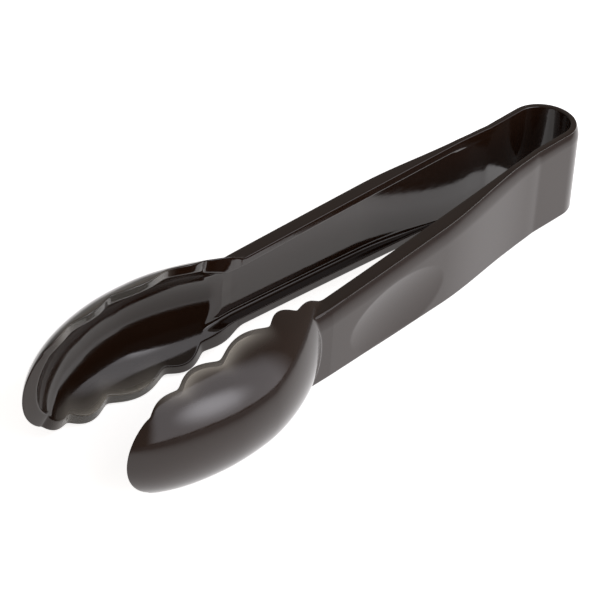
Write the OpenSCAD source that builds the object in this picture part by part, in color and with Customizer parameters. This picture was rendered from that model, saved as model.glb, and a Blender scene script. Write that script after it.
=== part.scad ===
// Spring-loaded kitchen tongs with two scalloped scoop jaws.
// The real tongs are one plastic moulding: a flat strip bent into a U is the spring, two
// channel-shaped arms are the handles, and each arm ends in a scoop with a scalloped edge.
// Here each zone of the moulding is a solid of its own, and each arm turns on a round
// knuckle at its end of the bend, where the real strip flexes.
// The zones are drawn with x from the back of the bend, y = 0 midway between the arms and
// z = 0 at mid-height. place() then puts the origin at the bottom centre of the whole.

/* [Overall] */
// Length from the back of the bend to the jaw tips
overall_length = 153; // [145:1:165]
// Length of one jaw, from the end of the arm to the tip
jaw_length = 59; // [56:1:62]

/* [Spring] */
// Thickness of the flat strip that makes the bend
strip_thickness = 2.05; // [1.8:0.05:2.3]
// Height of the strip at the bend
strip_height = 21.2; // [20:0.2:22]
// Clear gap between the two arms at the bend
bend_gap = 12.2; // [11:0.2:14]
// Distance from the back at which the arms start to spread
parallel_length = 19; // [17:1:22]

/* [Arms] */
// Distance from the middle to the arm's inner edge, where the jaw begins
arm_spread = 10.5; // [10:0.1:11.5]
// Depth of the channel-shaped arm, from its inner edge to its outer face
arm_depth = 4.2; // [3.7:0.1:4.4]
// Thickness of the channel's web
web_thickness = 1.5; // [1.3:0.1:1.7]
// Thickness of the two rails along the channel
rail_thickness = 2; // [1.6:0.1:2.4]
// Height of the arm where the jaw begins
arm_front_height = 17; // [16:0.2:18]

/* [Thumb rest] */
// Length of the oval thumb rest in the outer face
thumb_length = 31; // [26:1:34]
// Height of the thumb rest
thumb_height = 14.5; // [12:0.5:15.5]
// Depth of the thumb rest
thumb_depth = 0.8; // [0.4:0.1:0.9]
// Distance from the back to the middle of the thumb rest
thumb_x = 71; // [64:1:74]
// Distance of the thumb rest below mid-height
thumb_drop = 1.3; // [0:0.1:1.5]

/* [Jaws] */
// Greatest height of the scoop, measured between the scallop notches
scoop_height = 26.6; // [25:0.2:28]
// Depth of the scoop, from its notch line to its ridge
scoop_depth = 8.7; // [8:0.05:9]
// Distance from the middle to the notches of the scalloped edge near the tip
edge_spread = 14.8; // [14:0.1:15.4]
// Thickness of the scoop's wall
wall = 1.8; // [1.5:0.1:2]
// Height of the tallest scallop above its notches
scallop_height = 1.8; // [1.4:0.1:2.1]

/* [Knuckles] */
// Radial clearance of the knuckle in its socket
knuckle_clearance = 0.05; // [0.03:0.01:0.1]

/* [Hidden] */

// Colours of the smoky black plastic, a little lighter where a zone needs to be told apart
body_color = "#2b2422";
edge_color = "#4a3f3b";
rail_color = "#3a3230";
spring_color = "#332b29";

bend_radius = bend_gap / 2 + strip_thickness;
knuckle_y = bend_gap / 2 + strip_thickness / 2;
knuckle_inset = 0.04;   // how much thinner than the strip the knuckle is, on each side
strip_rounding = 0.8;
web_rounding = 1.2;

tip_overhang = 1.07;    // how far the scalloped edge leans out past the scoop's rim at the tip
rim_tip_x = overall_length - tip_overhang;
jaw_x = overall_length - jaw_length;
channel_x = 26;         // where the flat strip starts to deepen into a channel
channel_ramp = 32;      // length over which it reaches its full depth
rail_start_x = 33;      // where the rails stand clear of the web
taper_x = 28;           // where the arm starts to get lower towards the jaw
leg_end_x = channel_x;

// The scoop: widest and deepest stations, and the point its front wall fans out from
widest_x = jaw_x + 25;
deepest_x = jaw_x + 25.6;
fan_x = jaw_x + 40;
dome_angle = 64;        // how far the scoop's skin has turned round at the notch line
front_power = 2.05;     // how fast the ridge falls towards the tip
rear_power = 1.7;       // how fast it falls towards the arm, which it meets rear_length back
rear_length = 26.6;
outline_rear_power = 2;
outline_front_power = 3.3;
round_from = jaw_x + 3; // the scoop changes from a trough to an egg shape from here
round_over = 13;
edge_rise_length = 36;  // length over which the notch line moves out to edge_spread
edge_rise_power = 1.7;
edge_base = 0.5;        // height of the scalloped edge at the notches, and more near the tip
edge_tip_base = 0.8;
spine_end_share = 0.995; // share of the spine past which the wall fans out from one point

// Notches of the scalloped edge, from the arm to the tip, and each scallop's height
// as a share of the tallest one. The last scallop runs round the tip.
notch_x = [for (d = [0, 8.8, 18.7, 34.3, 45.7, 52.9]) jaw_x + d];
scallop_share = [0.4, 0.85, 1, 0.85, 0.4, 0.15];
notch_rounding = 0.2;

jaw_steps = 48;         // stations along a jaw
half_steps = 7;         // steps from the ridge to the notch line
edge_steps = 2;         // steps across the scalloped edge
arm_steps = 30;         // stations along an arm
face_steps = 14;        // steps across an arm's outer face

function clamp(u) = min(1, max(0, u));
function smooth(u) = let (t = clamp(u)) t * t * (3 - 2 * t);
function mix(a, b, u) = a + (b - a) * u;

// ---- Arm: inner edge, outer face and half height at a station x ----
function channel_share(x) = smooth((x - channel_x) / channel_ramp);
function inner_y(x) = mix(bend_gap / 2, arm_spread,
                          pow(clamp((x - parallel_length) / (jaw_x - parallel_length)), 0.8));
function outer_y(x) = inner_y(x) + mix(strip_thickness, arm_depth, channel_share(x));
function web_y(x) = outer_y(x) - mix(strip_thickness, web_thickness, channel_share(x));
function arm_half_height(x) = mix(strip_height, arm_front_height,
                                  pow(clamp((x - taper_x) / (jaw_x - taper_x)), 0.9)) / 2;

// How far a rounded corner pulls a face back at height z
function corner_pull(z, half, r) =
    let (over = abs(z) - (half - r)) over <= 0 ? 0 : r - sqrt(max(0, r * r - over * over));

// How deep the thumb rest is at a point of the outer face
function thumb_pull(x, z) =
    let (u = (x - thumb_x) / (thumb_length / 2), v = (z + thumb_drop) / (thumb_height / 2))
    thumb_depth * pow(max(0, 1 - u * u - v * v), 0.75);

// ---- Scoop: outline of the notch line, round outer skin and scallops ----
// t runs from 0 at the arm to 1 at the tip
function outline_x(t) = mix(jaw_x, rim_tip_x, t);
function spine_x(t) =
    let (share = 1 - pow(1 - t, (rim_tip_x - jaw_x) / (fan_x - jaw_x)))
    mix(jaw_x, fan_x, share > spine_end_share ? 1 : share);

// Square of the outline's half height. It goes on below zero past the tip.
function outline_square(x) = x < widest_x
    ? pow(mix(scoop_height, arm_front_height,
              pow((widest_x - x) / (widest_x - jaw_x), outline_rear_power)) / 2, 2)
    : pow(scoop_height / 2, 2)
      * (1 - pow((x - widest_x) / (rim_tip_x - widest_x), outline_front_power));
function seat_y(x) = edge_base + mix(arm_spread, edge_spread,
    1 - pow(1 - clamp((x - jaw_x) / edge_rise_length), edge_rise_power));

// Round profile: 1 where e is 0, 0 where e is 1, and falling ever faster beyond
function dome(e) = (sqrt(max(0, 1 - pow(sin(dome_angle), 2) * e)) - cos(dome_angle))
                   / (1 - cos(dome_angle));
function ridge_fall(x) = x > deepest_x
    ? pow((x - deepest_x) / (rim_tip_x - deepest_x), front_power)
    : pow((deepest_x - x) / rear_length, rear_power);
tip_fullness = front_power / (rim_tip_x - deepest_x)
    / (outline_front_power / (rim_tip_x - widest_x) * pow(scoop_height / 2, 2));
function egg(x, z) =
    let (fall = ridge_fall(x), square = outline_square(x))
    scoop_depth * dome(fall + z * z * (abs(square) < 0.05 ? tip_fullness : (1 - fall) / square));
function trough(x, z) =
    max(outer_y(jaw_x) - seat_y(x), scoop_depth * dome(ridge_fall(x))) * dome(z * z / outline_square(x));
function bowl_y(x, z) =
    let (share = smooth((x - round_from) / round_over))
    seat_y(x) + (share == 1 ? egg(x, z) : mix(trough(x, z), share == 0 ? 0 : egg(x, z), share));

// Scallops are half waves between neighbouring notches, with the notches rounded
function soft(wave) = (norm([wave, notch_rounding]) - notch_rounding)
                      / (norm([1, notch_rounding]) - notch_rounding);
function scallop_between(x, k) =
    soft(sin(180 * clamp((x - notch_x[k]) / (notch_x[k + 1] - notch_x[k]))));
function tip_wave(x) = soft(sin(90 * sqrt(clamp((x - notch_x[5]) / (rim_tip_x - notch_x[5])))));
function scallop(x) =
    mix(edge_base, edge_tip_base, smooth((x - notch_x[3]) / (notch_x[5] - notch_x[3])))
    + scallop_height * (
        x >= notch_x[5] ? scallop_share[5] * tip_wave(x)
        : max([for (k = [0:4])
              x >= notch_x[k] && x < notch_x[k + 1] ? scallop_share[k] * scallop_between(x, k) : 0]));

// Point of the outer skin at station t: "out" is 0 on the ridge and 1 on the notch line
function skin_point(t, out) =
    let (x = mix(spine_x(t), outline_x(t), out), z = sqrt(max(0, outline_square(outline_x(t)))) * out)
    [x, bowl_y(x, z), z];

// The same point set in by a distance square to the skin
function wall_point(t, out, in) =
    let (p = skin_point(t, out), d = 0.02,
         slope_x = (bowl_y(p[0] + d, p[2]) - bowl_y(p[0] - d, p[2])) / (2 * d),
         slope_z = (bowl_y(p[0], p[2] + d) - bowl_y(p[0], p[2] - d)) / (2 * d))
    p + in / norm([slope_x, 1, slope_z]) * [slope_x, -1, slope_z];
function on_side(p, side) = [p[0], p[1], side * p[2]];

// Where the skin comes down to a level of y, found by halving
function skin_end(t, in, level, low = 0.3, high = 1.35, tries = 22) =
    let (middle = (low + high) / 2, past = wall_point(t, middle, in)[1] < level)
    tries == 0 ? middle
    : skin_end(t, in, level, past ? low : middle, past ? middle : high, tries - 1);
function seat_end(t, in) = skin_end(t, in, seat_y(outline_x(t)));
function scallop_end(t, in) = skin_end(t, in, seat_y(outline_x(t)) - scallop(outline_x(t)));

// Stations are closer together towards the tip, where the outline turns
function station(i) = sin(90 * i / jaw_steps);

// Outermost points of the scalloped edge, which set the size of the whole
ends = [for (i = [0:jaw_steps]) let (t = station(i)) skin_point(t, scallop_end(t, 0))];
jaw_half_height = max([for (end = ends) end[2]]);
tip_x = max([for (end = ends) end[0]]);

// ---- Building blocks ----
module place() { translate([-tip_x / 2, 0, jaw_half_height]) children(); }
module on_left() { place() children(); }
module on_right() { place() mirror([0, 1, 0]) children(); }

function skin_faces(last, n) = [for (i = [0:last - 1], j = [0:n - 1]) each
    let (a = i * n + j, b = i * n + (j + 1) % n) [[a, b, b + n], [a, b + n, a + n]]];

// Solid through a list of rings, which are convex polygons with the same number of points
module loft(rings) {
    n = len(rings[0]);
    last = len(rings) - 1;
    polyhedron(
        points = [for (ring = rings) each ring],
        faces = concat([[for (j = [n - 1:-1:0]) j]],
                       [[for (j = [0:n - 1]) last * n + j]],
                       skin_faces(last, n)));
}

// The same for a shell. Each ring goes along the outer skin and back along the inner one,
// the first ring is closed by a strip between the skins, and the last closes on itself.
module shell_loft(rings) {
    n = len(rings[0]);
    polyhedron(
        points = [for (ring = rings) each ring],
        faces = concat([for (j = [0:n / 2 - 2]) each
                           [[j + 1, j, n - 1 - j], [j + 1, n - 1 - j, n - 2 - j]]],
                       skin_faces(len(rings) - 1, n)));
}

// ---- Sub-parts ----
module spring_bend() {
    color(spring_color) place() difference() {
        translate([bend_radius, 0, 0]) rotate([0, 0, 90])
            rotate_extrude(angle = 180, $fn = 96)
                translate([bend_gap / 2 + strip_thickness / 2, 0]) strip_section();
        for (side = [-1, 1])
            translate([bend_radius, side * knuckle_y, 0])
                cylinder(r = strip_thickness / 2 + knuckle_clearance, h = strip_height + 2,
                         center = true, $fn = 48);
    }
}

module strip_section() {
    square([strip_thickness, strip_height - 2 * strip_rounding], center = true);
    square([strip_thickness - 2 * strip_rounding, strip_height], center = true);
    for (x = [-1, 1], y = [-1, 1])
        translate([x * (strip_thickness / 2 - strip_rounding), y * (strip_height / 2 - strip_rounding)])
            circle(r = strip_rounding, $fn = 24);
}

// Flat part of the arm, from its knuckle to where the channel starts
module spring_leg() {
    steps = 8;
    xs = [for (i = [0:steps]) mix(bend_radius, leg_end_x, i / steps)];
    color(spring_color) linear_extrude(strip_height, center = true) {
        polygon(concat([for (x = xs) [x, inner_y(x)]],
                       [for (i = [steps:-1:0]) [xs[i], outer_y(xs[i])]]));
        translate([bend_radius, knuckle_y])
            circle(r = strip_thickness / 2 - knuckle_inset, $fn = 48);
    }
}

// Outer wall of the channel, with the thumb rest in its face
module handle_web() {
    color(body_color) loft([for (i = [0:arm_steps])
        let (x = mix(leg_end_x, jaw_x, i / arm_steps), half = arm_half_height(x))
        concat(
            [[x, web_y(x), half], [x, web_y(x), -half]],
            [for (j = [0:face_steps]) let (z = -half * cos(180 * j / face_steps))
                [x, outer_y(x) - corner_pull(z, half, web_rounding) - thumb_pull(x, z), z]])]);
}

// One rail of the channel: the upper one has side = 1, the lower one side = -1
module rail(side) {
    chamfer = 0.3;
    color(rail_color) mirror([0, 0, side < 0 ? 1 : 0]) loft([for (i = [0:arm_steps])
        let (x = mix(rail_start_x, jaw_x, i / arm_steps),
             y0 = inner_y(x), y1 = web_y(x), top = arm_half_height(x),
             cut = min(chamfer, (y1 - y0) / 2))
        [[x, y1, top], [x, y0 + cut, top], [x, y0, top - cut],
         [x, y0, top - rail_thickness + cut], [x, y0 + cut, top - rail_thickness],
         [x, y1, top - rail_thickness]]]);
}

// Scoop up to the seat of its scalloped edge. Each ring goes along the outer skin from the
// lower seat over the ridge to the upper one, and back along the inner skin.
module scoop() {
    color(body_color) shell_loft([for (i = [0:jaw_steps]) let (t = station(i)) concat(
        [for (j = [-half_steps:half_steps])
            on_side(wall_point(t, abs(j) / half_steps, 0), sign(j))],
        [for (j = [half_steps:-1:-half_steps])
            on_side(wall_point(t, seat_end(t, wall) * abs(j) / half_steps, wall), sign(j))])]);
}

// Scalloped edge that stands on the scoop's rim, above (side = 1) or below (side = -1)
module grip_edge(side) {
    color(edge_color) mirror([0, 0, side < 0 ? 1 : 0])
        loft([for (i = [0:jaw_steps]) let (t = station(i)) concat(
            [for (j = [0:edge_steps])
                wall_point(t, mix(seat_end(t, wall), scallop_end(t, wall), j / edge_steps), wall)],
            [for (j = [edge_steps:-1:0])
                wall_point(t, mix(1, scallop_end(t, 0), j / edge_steps), 0)])]);
}

spring_bend();
on_left() spring_leg();  // left_spring_leg
on_right() spring_leg();  // right_spring_leg
on_left() handle_web();  // left_handle_web
on_right() handle_web();  // right_handle_web
on_left() rail(1);  // left_upper_rail
on_right() rail(1);  // right_upper_rail
on_left() rail(-1);  // left_lower_rail
on_right() rail(-1);  // right_lower_rail
on_left() scoop();  // left_scoop
on_right() scoop();  // right_scoop
on_left() grip_edge(1);  // left_upper_grip_edge
on_right() grip_edge(1);  // right_upper_grip_edge
on_left() grip_edge(-1);  // left_lower_grip_edge
on_right() grip_edge(-1);  // right_lower_grip_edge
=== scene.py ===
"""Spring-loaded kitchen tongs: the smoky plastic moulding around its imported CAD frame."""
import math

import bmesh
import bpy
import numpy as np
from mathutils import Matrix, Vector


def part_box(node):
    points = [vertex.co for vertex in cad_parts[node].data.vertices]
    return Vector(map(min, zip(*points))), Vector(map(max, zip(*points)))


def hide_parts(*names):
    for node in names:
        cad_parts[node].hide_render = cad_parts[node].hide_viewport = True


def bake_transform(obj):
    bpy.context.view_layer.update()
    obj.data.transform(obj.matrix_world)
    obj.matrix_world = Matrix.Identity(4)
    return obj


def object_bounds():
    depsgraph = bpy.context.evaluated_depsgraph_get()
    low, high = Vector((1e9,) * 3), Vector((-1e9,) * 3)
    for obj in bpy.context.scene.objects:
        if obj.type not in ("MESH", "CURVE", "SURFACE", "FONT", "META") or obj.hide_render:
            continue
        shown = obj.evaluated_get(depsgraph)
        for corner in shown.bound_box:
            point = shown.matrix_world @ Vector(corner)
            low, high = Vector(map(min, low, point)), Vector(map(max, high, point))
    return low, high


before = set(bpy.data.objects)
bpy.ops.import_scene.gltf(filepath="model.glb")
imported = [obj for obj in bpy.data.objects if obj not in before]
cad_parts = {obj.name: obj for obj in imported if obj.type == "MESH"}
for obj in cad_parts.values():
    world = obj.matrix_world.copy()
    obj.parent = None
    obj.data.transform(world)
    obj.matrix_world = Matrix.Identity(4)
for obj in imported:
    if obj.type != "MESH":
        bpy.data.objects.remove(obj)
cad_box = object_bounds()
MM = 0.001

# ---- Sizes in millimetres: x from the back of the bend, y from the middle, z from mid-height ----
BACK_X = cad_box[0][0] / MM
MID_Z = (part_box("spring_bend")[0].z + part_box("spring_bend")[1].z) / 2 / MM
TIP_X = cad_box[1][0] / MM - BACK_X
JAW_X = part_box("left_handle_web")[1].x / MM - BACK_X
STRIP_HEIGHT = (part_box("spring_bend")[1].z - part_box("spring_bend")[0].z) / MM
BEND_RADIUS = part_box("spring_bend")[1].y / MM

# The strip of the bend and the arms that it deepens into
STRIP_THICKNESS = 2.05
BEND_GAP_HALF = BEND_RADIUS - STRIP_THICKNESS
PARALLEL_X = 19
ARM_SPREAD = 10.5
ARM_DEPTH = 4.2
WEB_THICKNESS = 1.5
RAIL_THICKNESS = 2.0
ARM_FRONT_HEIGHT = 17.0
CHANNEL_X = 23
CHANNEL_RAMP = 33
TAPER_X = 28

# The oval thumb rest
THUMB_X = 72
THUMB_LENGTH = 31.5
THUMB_HEIGHT = 14.5
THUMB_DEPTH = 0.8
THUMB_Z = -2.2

# The scoop: its rim, its egg-shaped skin and its outline, with the scallops between the notches
SCOOP_HEIGHT = 26.6
EDGE_SPREAD = 14.8
EDGE_BASE = 0.5
EDGE_TIP_BASE = 0.8
EDGE_RISE_LENGTH = 36
SCALLOP_HEIGHT = 1.8
NOTCH_ROUNDING = 0.2
RIM_TIP_X = TIP_X - 1.07
WIDEST_X = JAW_X + 25
DEEPEST_X = JAW_X + 25.6
FAN_X = JAW_X + 40
DOME_HEIGHT = 8.7
DOME_ANGLE = math.radians(64)
FRONT_POWER = 2.05
REAR_POWER = 1.7
REAR_LENGTH = 26.6
OUTLINE_REAR_POWER = 2.0
OUTLINE_FRONT_POWER = 3.3
NOTCHES = [JAW_X + d for d in (0, 8.8, 18.7, 34.3, 45.7, 52.9)]
SCALLOP_SHARES = (0.3, 0.85, 1, 0.85, 0.4, 0.15)

FLOOR_WALL = 1.9

# The arm and the scoop run into each other between these stations, with creases this wide
MERGE_START = JAW_X - 3
MERGE_END = JAW_X + 11
CREASE = 0.3
INNER_CREASE = 1.2
SHOULDER = 0.1

# Roundings: the rim, the outer upper edge with its crown, the lower one, and the channel
RIM_ROUNDING = 0.35
EDGE_ROUNDING = (1.0, 1.35)
EDGE_LEAN = math.radians(23)
CROWN_POWER = 1.6
CROWN_END_SHARE = 0.35
LOWER_EDGE_TALL = 0.7
CHANNEL_FILLET = 1.1
LEAST_FILLET = 0.25

# Points of a section's flat face, its corner and its side, before it is sampled
FLAT_POINTS = 60
ROUND_POINTS = 10
CROWN_POINTS = 12
CROWN_END_POINTS = 8
SIDE_POINTS = 40

# Steps in which each ring follows the outer skin, the inner skin, the rim's corners and the rim
OUTER_STEPS = (20, 9, 6, 6)
INNER_STEPS = (20, 6, 6)
CORNER_STEPS = 4
RIM_STEPS = 6


def clamp(u):
    return np.clip(u, 0, 1)


def ease(t):
    return t * t * (3 - 2 * t)


def smooth(u):
    return ease(clamp(u))


def mix(a, b, u):
    return a + (b - a) * u


def channel_share(x):
    return smooth((x - CHANNEL_X) / CHANNEL_RAMP)


def inner_y(x):
    spread = clamp((x - PARALLEL_X) / (JAW_X - PARALLEL_X)) ** 0.8
    return mix(BEND_GAP_HALF, ARM_SPREAD, spread)


def outer_y(x):
    return inner_y(x) + mix(STRIP_THICKNESS, ARM_DEPTH, channel_share(x))


def web_y(x):
    return outer_y(x) - mix(STRIP_THICKNESS, WEB_THICKNESS, channel_share(x))


def half_height(x):
    taper = clamp((x - TAPER_X) / (JAW_X - TAPER_X)) ** 0.9
    return mix(STRIP_HEIGHT, ARM_FRONT_HEIGHT, taper) / 2


def outline_square(x):
    """Square of the half height of the scoop's outline, which is negative past the tip."""
    rear = (ARM_FRONT_HEIGHT + (SCOOP_HEIGHT - ARM_FRONT_HEIGHT)
            * (1 - np.clip((WIDEST_X - x) / (WIDEST_X - JAW_X), 0, 1.3) ** OUTLINE_REAR_POWER)) / 2
    rear = rear + SHOULDER * np.exp(-((x - JAW_X - 4.5) / 2.2) ** 2)
    front = np.clip((x - WIDEST_X) / (RIM_TIP_X - WIDEST_X), 0, 2)
    return np.where(x < WIDEST_X, rear ** 2, (SCOOP_HEIGHT / 2) ** 2 * (1 - front ** OUTLINE_FRONT_POWER))


def seat_y(x):
    """Line of the notches."""
    rise = 1 - (1 - clamp((x - JAW_X) / EDGE_RISE_LENGTH)) ** 1.7
    return EDGE_BASE + mix(ARM_SPREAD, EDGE_SPREAD, rise)


def dome(e):
    """Round profile: 1 where e = 0, 0 where e = 1, and steeper below."""
    end = math.cos(DOME_ANGLE)
    return (np.sqrt(np.maximum(1 - math.sin(DOME_ANGLE) ** 2 * e, 1e-4)) - end) / (1 - end)


def bowl_y(x, z):
    """Outer skin of the scoop: its y over each point of the rim's plane."""
    off_ridge = np.where(x > DEEPEST_X,
                         np.clip((x - DEEPEST_X) / (RIM_TIP_X - DEEPEST_X), 0, 2) ** FRONT_POWER,
                         np.clip((DEEPEST_X - x) / REAR_LENGTH, 0, 2) ** REAR_POWER)
    square = outline_square(x)
    at_tip = np.abs(square) < 0.05
    square = np.where(at_tip, 0.05, square)
    fullness = np.where(at_tip, FRONT_POWER / (RIM_TIP_X - DEEPEST_X)
                        / (OUTLINE_FRONT_POWER / (RIM_TIP_X - WIDEST_X) * (SCOOP_HEIGHT / 2) ** 2),
                        (1 - off_ridge) / square)
    egg = DOME_HEIGHT * dome(off_ridge + fullness * z * z)

    # Near the arm the skin is a trough that starts below the arm's face and comes up to it
    below_arm = 0.3 + 1.4 * (1 - clamp((x - MERGE_START) / 4)) ** 2
    trough = np.maximum(outer_y(JAW_X) - below_arm - seat_y(x), DOME_HEIGHT * dome(off_ridge)) \
        * dome(z * z / np.abs(square))
    return seat_y(x) + mix(trough, egg, smooth((x - JAW_X - 3) / 13))


def soft(wave):
    """Half wave with its two ends rounded off."""
    top = math.hypot(1, NOTCH_ROUNDING) - NOTCH_ROUNDING
    return (math.hypot(wave, NOTCH_ROUNDING) - NOTCH_ROUNDING) / top


def scallop(x):
    """Height of the wavy edge over the line of the notches."""
    base = mix(EDGE_BASE, EDGE_TIP_BASE, smooth((x - NOTCHES[3]) / (NOTCHES[5] - NOTCHES[3])))
    if x >= NOTCHES[5]:
        wave = math.sin(math.pi / 2 * math.sqrt(clamp((x - NOTCHES[5]) / (RIM_TIP_X - NOTCHES[5]))))
        return base + SCALLOP_HEIGHT * SCALLOP_SHARES[5] * soft(wave)
    for k in range(5):
        if NOTCHES[k] <= x < NOTCHES[k + 1]:
            wave = math.sin(math.pi * (x - NOTCHES[k]) / (NOTCHES[k + 1] - NOTCHES[k]))
            return base + SCALLOP_HEIGHT * SCALLOP_SHARES[k] * soft(wave)
    return base


def wall(x):
    """Thickness of the scoop's wall at the rim: thick at the collar and round the tip."""
    u = (x - JAW_X) / (RIM_TIP_X - JAW_X)
    return FLOOR_WALL + 1.5 * math.exp(-(u / 0.16) ** 2) + 0.9 * clamp((u - 0.86) / 0.14) ** 1.5


def rounded_corner(radius, tall=1.0):
    """Quarter ellipse, as distances back from the face and down from the top."""
    turn = np.linspace(0, math.pi / 2, ROUND_POINTS)
    return np.stack([radius * (1 - np.cos(turn)), tall * radius * (1 - np.sin(turn))], 1)


def crowned_corner(depth):
    """Face that leans back more and more towards its top and ends in a small rounding."""
    small = CROWN_END_SHARE * depth
    lean = depth - small * math.cos(EDGE_LEAN)
    tall = CROWN_POWER * lean / math.tan(EDGE_LEAN)
    u = np.linspace(0, 1, CROWN_POINTS, endpoint=False)
    turn = np.linspace(EDGE_LEAN, math.pi / 2, CROWN_END_POINTS)
    round_height = small * (1 - math.sin(EDGE_LEAN))
    crown = np.stack([lean * u ** CROWN_POWER, round_height + tall * (1 - u)], 1)
    end = np.stack([depth - small * np.cos(turn), small * (1 - np.sin(turn))], 1)
    return np.concatenate([crown, end])


def cornered_box(y_face, z_face, y_end, corner):
    """Quarter outline from the middle of a face round its corner to y_end."""
    depth, height = corner[-1, 0], corner[0, 1]
    flat = np.stack([np.full(FLAT_POINTS, y_face), np.linspace(0, z_face - height, FLAT_POINTS)], 1)
    side = np.linspace(y_face - depth, y_end, SIDE_POINTS + 1)[1:]
    turned = np.stack([y_face - corner[:, 0], z_face - corner[:, 1]], 1)
    return np.concatenate([flat[:-1], turned, np.stack([side, np.full(len(side), z_face)], 1)])


def lengths(line):
    """Length along a line up to each of its points."""
    return np.concatenate([[0], np.cumsum(np.linalg.norm(np.diff(line, axis=0), axis=1))])


def at(line, where):
    """Points of a line at given lengths along it."""
    s = lengths(line)
    return np.stack([np.interp(where, s, line[:, c]) for c in range(line.shape[1])], 1)


def scoop_line(x, thickness):
    """Scoop's skin at a station, from the ridge past the rim: x, y, z. The inner skin lies
    under the outer one by the wall's thickness, square to it."""
    t = (x - JAW_X) / (RIM_TIP_X - JAW_X)

    # Stations run square to the ridge at first and fan out round FAN_X towards the tip
    power = (RIM_TIP_X - JAW_X) / (FAN_X - JAW_X)
    spine = x if t <= 0 else mix(JAW_X, FAN_X, 1 - max(0.0, 1 - t) ** power)
    z_edge = math.sqrt(max(0.0, float(outline_square(np.float64(x)))))
    share = np.linspace(0, 1.32, 420)
    xs, zs = spine + (x - spine) * share, z_edge * share
    ys = bowl_y(xs, zs)
    if thickness:
        step = 0.02
        slope_x = (bowl_y(xs + step, zs) - bowl_y(xs - step, zs)) / (2 * step)
        slope_z = (bowl_y(xs, zs + step) - bowl_y(xs, zs - step)) / (2 * step)
        depth = mix(FLOOR_WALL, thickness, np.minimum(1, share) ** 1.5)
        scale = depth / np.sqrt(1 + slope_x ** 2 + slope_z ** 2)
        xs, ys, zs = xs + slope_x * scale, ys - scale, zs + slope_z * scale
        zs = np.maximum(zs, 0)
    return np.stack([xs, ys, zs], 1)


def trimmed(line, level):
    """The part of a skin that lies above a level of y."""
    below = np.nonzero(line[:, 1] < level)[0]
    if len(below) == 0:
        return line
    last = max(1, below[0])
    u = (line[last - 1, 1] - level) / max(1e-9, line[last - 1, 1] - line[last, 1])
    return np.concatenate([line[:last], [line[last - 1] + (line[last] - line[last - 1]) * u]])


def polar(line, centre):
    """Angle and distance of a line's points, seen from a centre on the y axis."""
    return np.arctan2(line[:, 1], line[:, 0] - centre), np.hypot(line[:, 1], line[:, 0] - centre)


def soft_max(a, b, k):
    """The larger of two values, with the crease between them rounded over a width k."""
    h = np.maximum(k - np.abs(a - b), 0) / k
    return np.maximum(a, b) + h * h * k / 4


def rim_y(x):
    """Level of the rim, which is the edge that faces the other side of the tongs."""
    return inner_y(x) if x < JAW_X else seat_y(x) - scallop(x)


def arm_section(x, inner, crowned):
    """Arm's outline at a station: its face, its half height, its corner, the outline itself
    and the shares of its length at which its corner starts, changes and ends."""
    if inner:
        depth = web_y(x) - inner_y(x)
        radius = max(LEAST_FILLET, CHANNEL_FILLET * min(1.0, channel_share(x) * 1.6))
        radius = min(radius, LEAST_FILLET + depth * 0.5)
        half, face = half_height(x) - RAIL_THICKNESS, max(web_y(x), inner_y(x) + 0.02)
        corner, marks = rounded_corner(radius), (0, ROUND_POINTS - 1)
        if depth > radius:
            outline = cornered_box(face, half, min(inner_y(x), face - radius * 0.999), corner)
        else:
            outline = shallow_channel(face, inner_y(x), half, radius)
    else:
        half, face = half_height(x), outer_y(x)
        depth = mix(*EDGE_ROUNDING, smooth((x - 10) / 30))
        if crowned:
            corner, marks = crowned_corner(depth), (0, CROWN_POINTS, CROWN_POINTS + CROWN_END_POINTS - 1)
        else:
            corner, marks = rounded_corner(depth, LOWER_EDGE_TALL), (0, 3, ROUND_POINTS - 1)
        outline = cornered_box(face, half, inner_y(x), corner)

    # The marks count a corner's points, which follow on from the flat face
    s = lengths(outline)
    knots = np.array([0, *[s[FLAT_POINTS - 1 + mark] for mark in marks], s[-1]]) / s[-1]
    return face, half, corner, outline, knots


def skin(x, inner, crowned):
    """Outer or inner skin at a station, from mid-height to the rim, with the knots of the arm's
    section and how far the station has gone over from the arm to the scoop."""
    face, half, corner, outline, knots = arm_section(x, inner, crowned)
    if x < MERGE_START:
        return np.insert(outline, 0, x, axis=1), knots, 0.0
    scoop = scoop_line(x, wall(x) if inner else 0.0)
    level = float(rim_y(x))
    if x >= MERGE_END:
        return trimmed(scoop, level), knots, 1.0

    # Between the two, whichever skin lies further out counts, seen from a centre below the rim
    centre = level - 2.5
    phi_box, r_box = polar(cornered_box(face, half, centre + 0.05, corner), centre)
    phi_scoop, r_scoop = polar(scoop[:, 1:], centre)
    order = np.argsort(phi_scoop)
    phi = np.linspace(0, math.radians(89), 1200)
    r_box = np.interp(phi, phi_box, r_box)
    r_scoop = np.interp(phi, phi_scoop[order], r_scoop[order], left=0.0, right=0.0)
    both = soft_max(r_box, r_scoop, INNER_CREASE if inner else CREASE)
    y, z = centre + both * np.cos(phi), both * np.sin(phi)
    scoop_share = clamp(0.5 + (r_scoop - r_box) / 1.5) * clamp((x - MERGE_START) / 3)
    xs = mix(x, np.interp(phi, phi_scoop[order], scoop[order, 0]), ease(scoop_share))
    blend_share = smooth((x - MERGE_START) / (MERGE_END - MERGE_START))
    return trimmed(np.stack([xs, y, z], 1), level), knots, blend_share


def shallow_channel(face, edge, half, radius):
    """Channel outline where it is too shallow for its full fillet: an S-shaped step."""
    z = np.linspace(half - 2 * radius, half, ROUND_POINTS)
    y = face - (face - edge) * ease((z - z[0]) / (2 * radius))
    flat = np.stack([np.full(FLAT_POINTS, face), np.linspace(0, z[0], FLAT_POINTS)], 1)
    return np.concatenate([flat[:-1], np.stack([y, z], 1), [[edge, half + 1e-4]]])


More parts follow.
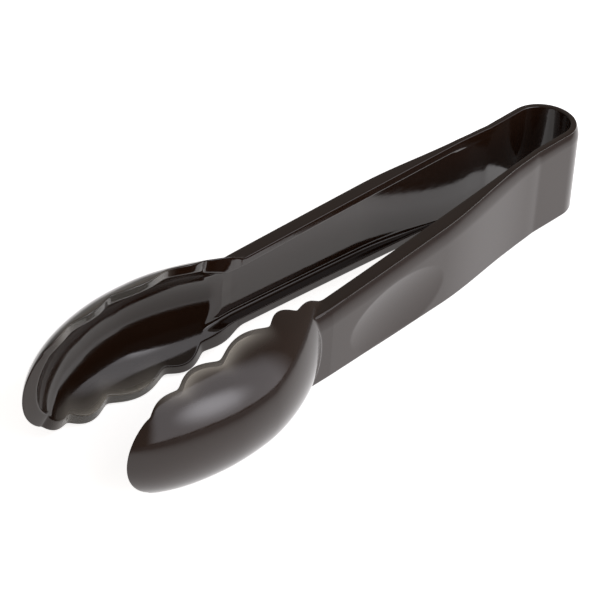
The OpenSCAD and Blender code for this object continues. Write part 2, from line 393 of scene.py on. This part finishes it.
def thumb_pull(x, z):
    """Depth of the thumb rest, a shallow oval bowl in the outer face."""
    u = (x - THUMB_X) / (THUMB_LENGTH / 2)
    v = (z - THUMB_Z) / (THUMB_HEIGHT / 2)
    return THUMB_DEPTH * np.maximum(0, 1 - u * u - v * v)


def spread(knots, steps, length, blend_share, minimum=0.05):
    """Shares of a skin's length at which it is sampled."""
    knots = knots * length
    for k in range(1, len(knots)):
        knots[k] = max(knots[k], knots[k - 1] + minimum)
    knots = knots / knots[-1]
    arm = np.concatenate([np.linspace(knots[k], knots[k + 1], n, endpoint=False)
                          for k, n in enumerate(steps)] + [[1.0]])
    even = np.linspace(0, 1, sum(steps) + 1)
    return mix(arm, even, blend_share)


def bezier(a, b, c, steps):
    t = np.linspace(0, 1, steps + 1)[:, None]
    return (1 - t) ** 2 * a + 2 * t * (1 - t) * b + t ** 2 * c


def half_ring(x, crowned):
    """Half of the section at a station: over the outer skin, round the rim and back inside."""
    outer, knots, blend_share = skin(x, False, crowned)
    length = lengths(outer)[-1]
    s = spread(knots, OUTER_STEPS, length, blend_share) * (length - RIM_ROUNDING)
    outside = at(outer, s)
    inner, knots_in, blend_in = skin(x, True, crowned)
    length_in = lengths(inner)[-1]
    s_in = spread(knots_in, INNER_STEPS, length_in, blend_in) * (length_in - RIM_ROUNDING)
    inside = at(inner, s_in)[::-1]
    rim_out, rim_in = outer[-1], inner[-1]
    width = np.linalg.norm(rim_in - rim_out)
    along = (rim_in - rim_out) / width
    corner = min(RIM_ROUNDING, width / 2.2)
    a, b = rim_out + along * corner, rim_in - along * corner
    first = bezier(outside[-1], rim_out, a, CORNER_STEPS)
    second = bezier(b, rim_in, inside[0], CORNER_STEPS)
    rim = np.linspace(a, b, RIM_STEPS + 1)
    return np.concatenate([outside[:-1], first, rim[1:-1], second, inside[1:]])


def stations():
    """Stations along one side, from the middle of the bend to the tip."""
    arc = [("bend", angle) for angle in np.radians(np.arange(0, 90, 2))]
    arm = np.concatenate([np.arange(BEND_RADIUS, 50, 0.7), np.arange(50, MERGE_START, 0.45)])
    merge = np.arange(MERGE_START, MERGE_END, 0.15)
    turn0 = math.asin((MERGE_END - JAW_X) / (RIM_TIP_X - JAW_X))
    jaw = JAW_X + (RIM_TIP_X - JAW_X) * np.sin(np.linspace(turn0, math.pi / 2, 150))
    return arc + [("arm", x) for x in np.concatenate([arm, merge, jaw])]


def side_points(crowned):
    """Half rings of one side, as an array of stations by points by coordinates."""
    rings = []
    strip = half_ring(BEND_RADIUS, crowned)
    for kind, value in stations():
        if kind == "bend":
            radius, height = strip[:, 1], strip[:, 2]
            ring = np.stack([BEND_RADIUS - radius * math.cos(value), radius * math.sin(value), height], 1)
        else:
            ring = half_ring(min(value, RIM_TIP_X), crowned)
        rings.append(ring)
    return np.array(rings)


def placed(name, data):
    """New object in the scene."""
    thing = bpy.data.objects.new(name, data)
    bpy.context.scene.collection.objects.link(thing)
    return thing


def mark_zones(mesh, full, n_half):
    """Mark the fine grain along the arm's outer edges, and the jaw's see-through rims, whose colour also
    paints the glow of light shining through them.
    """
    index = np.arange(n_half)
    edge = sum(OUTER_STEPS[:3]) - 1
    spine_x = full[:, 0, 0]
    on_arm = smooth((spine_x - 3) / 6) * smooth((JAW_X - 3 - spine_x) / 5)
    grain = on_arm[:, None] * np.exp(-(index - edge) ** 2.0)
    # Near the rim of the middle lobes the plastic turns see-through, and its colour there also paints the
    # glow of light shining through.
    rim = sum(OUTER_STEPS) + CORNER_STEPS + RIM_STEPS // 2
    rim_x = full[:, rim, 0]
    on_jaw = smooth((rim_x - JAW_X - 17) / 9) * smooth((JAW_X + 52 - rim_x) / 9)
    from_rim = np.maximum(0, np.abs(index - rim) - 5)
    see_through_and_glow = on_jaw[:, None] * 0.85 * np.exp(-(from_rim / 6) ** 2)
    for label, values in (("edge_grain", grain), ("see_through_rim_with_painted_glow", see_through_and_glow)):
        ringed = np.concatenate([values, values[:, -2:0:-1]], 1)
        layer = mesh.attributes.new(label, "FLOAT", "POINT")
        layer.data.foreach_set("value", ringed.astype(np.float32).ravel())


def clean(mesh):
    """Weld the points that fall together at the tip, and smooth the mesh."""
    work = bmesh.new()
    work.from_mesh(mesh)
    bmesh.ops.remove_doubles(work, verts=work.verts, dist=2e-6)
    bmesh.ops.dissolve_degenerate(work, edges=work.edges, dist=1e-6)
    bmesh.ops.recalc_face_normals(work, faces=work.faces)
    for face in work.faces:
        face.smooth = True
    work.to_mesh(mesh)
    work.free()
    mesh.update()


def match_at_seam(mesh):
    """Lay the normals at the middle of the bend in the plane between the two sides."""
    count = len(mesh.vertices)
    normals, places = np.zeros(count * 3, np.float32), np.zeros(count * 3, np.float32)
    mesh.vertices.foreach_get("normal", normals)
    mesh.vertices.foreach_get("co", places)
    normals, places = normals.reshape(-1, 3), places.reshape(-1, 3)
    seam = (np.abs(places[:, 1]) < 1e-6) & (places[:, 0] < (BACK_X + 5) * MM)
    normals[seam, 1] = 0
    normals /= np.linalg.norm(normals, axis=1, keepdims=True) + 1e-12
    mesh.normals_split_custom_set_from_vertices([tuple(v) for v in normals])


def build_side(name, side, rings, lower_rings):
    """Closed mesh of one side: each upper half ring and a lower one turned upside down."""
    n_stations, n_half = rings.shape[:2]
    lower = lower_rings[:, -2:0:-1] * np.array([1, 1, -1])
    full = np.concatenate([rings, lower], 1)
    n = full.shape[1]
    face_steps = sum(OUTER_STEPS[:2])
    face = list(range(face_steps + 1)) + list(range(n - face_steps, n))
    full[:, face, 1] -= thumb_pull(full[:, face, 0], full[:, face, 2])
    points = full.reshape(-1, 3) * np.array([1, side, 1])
    points = (points + np.array([BACK_X, 0, MID_Z])) * MM
    faces = []
    for i in range(n_stations - 1):
        for j in range(n):
            a, b = i * n + j, i * n + (j + 1) % n
            faces.append((a, a + n, b + n, b) if side > 0 else (a, b, b + n, a + n))
    cap = tuple(range(n))
    faces.append(cap if side > 0 else cap[::-1])
    mesh = bpy.data.meshes.new(name)
    mesh.from_pydata([tuple(p) for p in points], [], faces)
    mesh.update()
    mark_zones(mesh, full, n_half)
    clean(mesh)
    match_at_seam(mesh)
    return placed(name, mesh)


# ---- Materials ----
def set_inputs(tree, node, inputs):
    """Give a node's sockets their values, or link them to other nodes' outputs."""
    for socket, value in inputs.items():
        if isinstance(value, bpy.types.NodeSocket):
            tree.links.new(value, node.inputs[socket])
        else:
            node.inputs[socket].default_value = value


def add(tree, kind, inputs, **settings):
    """New shader node with its settings and inputs."""
    node = tree.nodes.new(f"ShaderNode{kind}")
    for setting, value in settings.items():
        setattr(node, setting, value)
    set_inputs(tree, node, inputs)
    return node


def plastic():
    """Smoky black plastic: glossy, with fine scratches, see-through at the narrow rims of the jaws, and olive
    there: a real tint for the light that passes through, and a painted glow of that light in the part that
    stays opaque.
    """
    material = bpy.data.materials.new("smoky_plastic")
    material.use_nodes = True
    tree = material.node_tree
    place = add(tree, "TexCoord", {}).outputs["Object"]

    cloud = add(tree, "TexNoise", {"Vector": place, "Scale": 90, "Detail": 3})
    body = add(tree, "ValToRGB", {"Fac": cloud.outputs["Fac"]})
    body.color_ramp.elements[0].color = (0.0115, 0.0050, 0.0026, 1)
    body.color_ramp.elements[1].color = (0.0170, 0.0078, 0.0044, 1)
    see_through_and_glow = add(tree, "Attribute", {}, attribute_name="see_through_rim_with_painted_glow").outputs["Fac"]
    # Painted glow: the light olive mixed in at the see-through rims makes their opaque part look lit from
    # behind, while in the see-through part it is the real tint of the light.
    tone_with_painted_glow = add(tree, "Mix", {"Factor": see_through_and_glow, "A": body.outputs["Color"], "B": (0.43, 0.40, 0.35, 1)},
               data_type="RGBA")

    stretch = add(tree, "Mapping", {"Vector": place, "Scale": (1, 6, 6)})
    scuffs = add(tree, "TexNoise", {"Vector": stretch.outputs["Vector"], "Scale": 260, "Detail": 6})
    scuffs = scuffs.outputs["Fac"]
    rough = add(tree, "MapRange", {"Value": scuffs, "From Min": 0.35, "From Max": 0.75,
                                   "To Min": 0.07, "To Max": 0.14})
    grain = add(tree, "Attribute", {}, attribute_name="edge_grain").outputs["Fac"]
    grain_rough = add(tree, "Math", {0: grain, 1: 0.3, 2: rough.outputs["Result"]}, operation="MULTIPLY_ADD")

    stipple = add(tree, "TexNoise", {"Vector": place, "Scale": 2600, "Detail": 2})
    stipple_height = add(tree, "Math", {0: stipple.outputs["Fac"], 1: grain}, operation="MULTIPLY")
    bump = add(tree, "Bump", {"Height": stipple_height.outputs["Value"], "Strength": 0.9, "Distance": 0.0003})
    fine = add(tree, "Bump", {"Height": scuffs, "Normal": bump.outputs["Normal"], "Strength": 0.05,
                              "Distance": 0.0001})

    set_inputs(tree, tree.nodes["Principled BSDF"], {
        "Base Color": tone_with_painted_glow.outputs["Result"],
        "Transmission Weight": see_through_and_glow,
        "Roughness": grain_rough.outputs["Value"],
        "Normal": fine.outputs["Normal"],
        "IOR": 1.5,
    })
    return material


def white_paper():
    """White sheet. The camera sees it evenly white, and reflections see it lit only round the tongs."""
    material = bpy.data.materials.new("white_table")
    material.use_nodes = True
    tree = material.node_tree
    place = add(tree, "TexCoord", {}).outputs["Object"]
    across = add(tree, "VectorMath", {0: place}, operation="ABSOLUTE").outputs["Vector"]
    outside = add(tree, "VectorMath", {0: across, 1: LIT_HALF_SIZE}, operation="SUBTRACT").outputs["Vector"]
    clipped = add(tree, "VectorMath", {0: outside, 1: (0, 0, 0)}, operation="MAXIMUM").outputs["Vector"]
    away = add(tree, "VectorMath", {0: clipped}, operation="LENGTH").outputs["Value"]
    lit = add(tree, "MapRange", {"Value": away, "From Max": LIT_FADE, "To Min": 1, "To Max": 0.22},
              interpolation_type="SMOOTHSTEP").outputs["Result"]
    seen = add(tree, "LightPath", {}).outputs["Is Camera Ray"]
    share = add(tree, "Math", {0: seen, 1: lit}, operation="MAXIMUM").outputs["Value"]
    white = add(tree, "Mix", {"Factor": share, "A": (0, 0, 0, 1), "B": (1, 1, 1, 1)},
                data_type="RGBA").outputs["Result"]
    set_inputs(tree, tree.nodes["Principled BSDF"], {
        "Base Color": white,
        "Roughness": 0.9,
        "Emission Color": white,
        "Emission Strength": 0.78,
    })
    return material


# ---- The two sides of the moulding ----
ZONES = ("spring_leg", "handle_web", "upper_rail", "lower_rail", "scoop",
         "upper_grip_edge", "lower_grip_edge")
material = plastic()
rings, lower_rings = side_points(True), side_points(False)
for name, side in (("left", 1), ("right", -1)):
    piece = build_side(f"{name}_side_of_moulding", side, rings, lower_rings)
    piece.data.materials.append(material)
    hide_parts("spring_bend", *[f"{name}_{zone}" for zone in ZONES])
    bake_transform(piece)


# ---- Floor, light and camera, in metres ----
FLOOR_HALF_SIZE = 3.0
LIT_HALF_SIZE = (0.12, 0.032, 0)
LIT_FADE = 0.14

CAMERA_PLACE = (0.42883, 0.34659, 0.38858)
CAMERA_ELEVATION = math.radians(34.56)
CAMERA_AZIMUTH = math.radians(39.67)
CAMERA_ROLL = math.radians(3.96)


def floor():
    mesh = bpy.data.meshes.new("floor")
    corners = [(x * FLOOR_HALF_SIZE, y * FLOOR_HALF_SIZE, 0) for x, y in ((-1, -1), (1, -1), (1, 1), (-1, 1))]
    mesh.from_pydata(corners, [], [(0, 1, 2, 3)])
    mesh.materials.append(white_paper())
    placed("floor", mesh)


def softbox(name, place, target, size, power, color, glow_at, glow_width, glow, fade):
    """Large soft light, brighter round one point and fading at its two sides: glow_at,
    glow_width and fade are shares of its size."""
    data = bpy.data.lights.new(name, "AREA")
    data.shape = "RECTANGLE"
    data.size, data.size_y = size
    data.energy = power
    data.color = color
    data.use_nodes = True
    tree = data.node_tree
    where = add(tree, "NewGeometry", {}).outputs["Parametric"]
    offset = add(tree, "VectorMath", {0: where, 1: (*glow_at, 0)}, operation="SUBTRACT").outputs["Vector"]
    scaled = add(tree, "VectorMath", {0: offset, 1: (*glow_width, 1)}, operation="DIVIDE").outputs["Vector"]
    away = add(tree, "VectorMath", {0: scaled}, operation="LENGTH").outputs["Value"]
    strength = add(tree, "MapRange", {"Value": away, "To Min": 1 + glow, "To Max": 1},
                   interpolation_type="SMOOTHERSTEP").outputs["Result"]
    across = add(tree, "SeparateXYZ", {"Vector": where}).outputs["X"]
    for start, end in ((0, fade[0]), (1, 1 - fade[1])):
        side = add(tree, "MapRange", {"Value": across, "From Min": start, "From Max": end, "To Min": 0.1},
                   interpolation_type="SMOOTHSTEP").outputs["Result"]
        strength = add(tree, "Math", {0: strength, 1: side}, operation="MULTIPLY").outputs["Value"]
    emission = next(node for node in tree.nodes if node.type == "EMISSION")
    tree.links.new(strength, emission.inputs["Strength"])
    lamp = placed(name, data)
    lamp.location = place
    lamp.rotation_euler = (Vector(target) - Vector(place)).to_track_quat("-Z", "Y").to_euler()


def studio_world():
    """Dim warm surroundings, with a white backdrop behind the floor for the camera alone."""
    world = bpy.data.worlds.new("studio")
    world.use_nodes = True
    tree = world.node_tree
    room = tree.nodes["Background"]
    room.inputs["Color"].default_value = (0.28, 0.255, 0.235, 1)
    backdrop = add(tree, "Background", {"Color": (1, 1, 1, 1)})
    seen = add(tree, "LightPath", {}).outputs["Is Camera Ray"]
    choose = add(tree, "MixShader", {"Fac": seen, 1: room.outputs["Background"],
                                     2: backdrop.outputs["Background"]})
    tree.links.new(choose.outputs["Shader"], tree.nodes["World Output"].inputs["Surface"])
    bpy.context.scene.world = world


def camera():
    """Camera as in a product photograph: a long lens from the front left, 35 degrees up."""
    level = math.cos(CAMERA_ELEVATION)
    back = Vector((level * math.cos(CAMERA_AZIMUTH), level * math.sin(CAMERA_AZIMUTH),
                   math.sin(CAMERA_ELEVATION)))
    level_right = Vector((-math.sin(CAMERA_AZIMUTH), math.cos(CAMERA_AZIMUTH), 0))
    level_up = back.cross(level_right)
    right = level_right * math.cos(CAMERA_ROLL) + level_up * math.sin(CAMERA_ROLL)
    up = back.cross(right)
    data = bpy.data.cameras.new("camera")
    data.lens = 192
    data.sensor_width = 36
    seat = placed("camera", data)
    seat.matrix_world = Matrix.Translation(CAMERA_PLACE) @ Matrix((right, up, back)).transposed().to_4x4()
    bpy.context.scene.camera = seat


floor()
camera()
softbox("left_softbox", (-0.285, 0.672, 0.66), (-0.164, -0.018, 0.66), (1.53, 1.26), 9.8, (0.95, 0.94, 1.0),
        glow_at=(0.43, 0.26), glow_width=(0.24, 0.3), glow=2.7, fade=(0.12, 0.27))
studio_world()
bpy.context.scene.view_settings.view_transform = "Standard"
